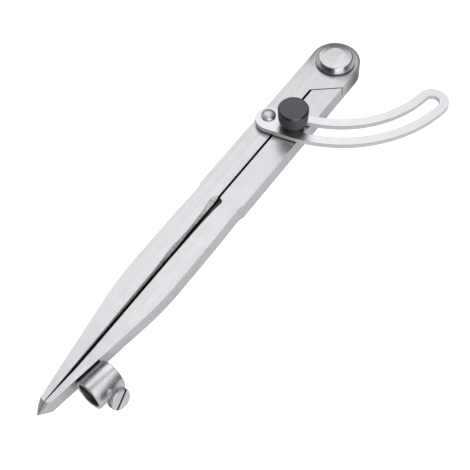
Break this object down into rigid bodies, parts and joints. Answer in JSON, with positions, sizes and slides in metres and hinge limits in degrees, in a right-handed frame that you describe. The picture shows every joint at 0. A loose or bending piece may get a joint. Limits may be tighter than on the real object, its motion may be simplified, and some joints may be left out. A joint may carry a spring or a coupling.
{
  "type": "wing divider with pencil holder",
  "caption": "Steel wing divider with a half-lap pivot, a slotted arc wing, a knurled clamp knob and a tube with a thumbscrew for a pencil.",
  "frame": {"origin": "on the pivot axis, on the flat rear end of the pivot rivet, in the plane of the legs' backs", "axes": "+Y along the closed legs to the head, +X to the right leg and its pencil ferrule, +Z out of the front faces along the pivot axis"},
  "size_m": [0.061, 0.2009, 0.0218],
  "materials": {
    "satin_steel": "satin ground steel with a fine grain along the leg",
    "polished_steel": "bright nickel-like polish",
    "black_steel": "black oxide",
    "grey_steel": "dark grey turned steel with fine rings on the top face",
    "bright_tube": "drawn tube, bright with a faint lengthwise grain",
    "bright_screw": "plated steel with a straight knurl"
  },
  "bodies": {
    "left_leg": {"left_leg": "satin_steel", "pivot_rivet": "polished_steel", "pivot_washer": "black_steel", "wing_rivet": "polished_steel", "wing_spacer": "black_steel"},
    "right_leg": {"right_leg": "satin_steel", "pencil_ferrule": "bright_tube", "clamp_spacer": "black_steel"},
    "wing": {"wing": "polished_steel"},
    "clamp_washer": {"clamp_washer": "black_steel"},
    "clamp_knob": {"clamp_knob": "grey_steel", "clamp_screw": "black_steel"},
    "pencil_screw": {"pencil_screw": "bright_screw"}
  },
  "joints": [
    {"name": "leg_open", "type": "hinge", "parent": "left_leg", "child": "right_leg", "pos_m": [0, 0, 0], "axis": [0, 0, 1], "range_deg": [0, 80]},
    {"name": "wing_swing", "type": "hinge", "parent": "left_leg", "child": "wing", "pos_m": [-0.00559, -0.041, 0.00915], "axis": [0, 0, 1], "range_deg": [0, 3.7]},
    {"name": "knob_travel", "type": "slide", "parent": "right_leg", "child": "clamp_washer", "axis": [0, 0, 1], "range_m": [0, 0.0014]},
    {"name": "knob_turn", "type": "hinge", "parent": "clamp_washer", "child": "clamp_knob", "pos_m": [0.00492, -0.03938, 0.015], "axis": [0, 0, 1], "range_deg": [0, 720]},
    {"name": "pencil_screw_travel", "type": "slide", "parent": "right_leg", "child": "pencil_screw", "axis": [0.9468, -0.1345, 0.2924], "range_m": [-0.0022, 0.0015]}
  ],
  "couplings": [
    {"joint": "wing_swing", "follows": "leg_open", "ratio": 0.0448},
    {"joint": "knob_turn", "follows": "knob_travel", "rad_per_m": 8975.9}
  ]
}
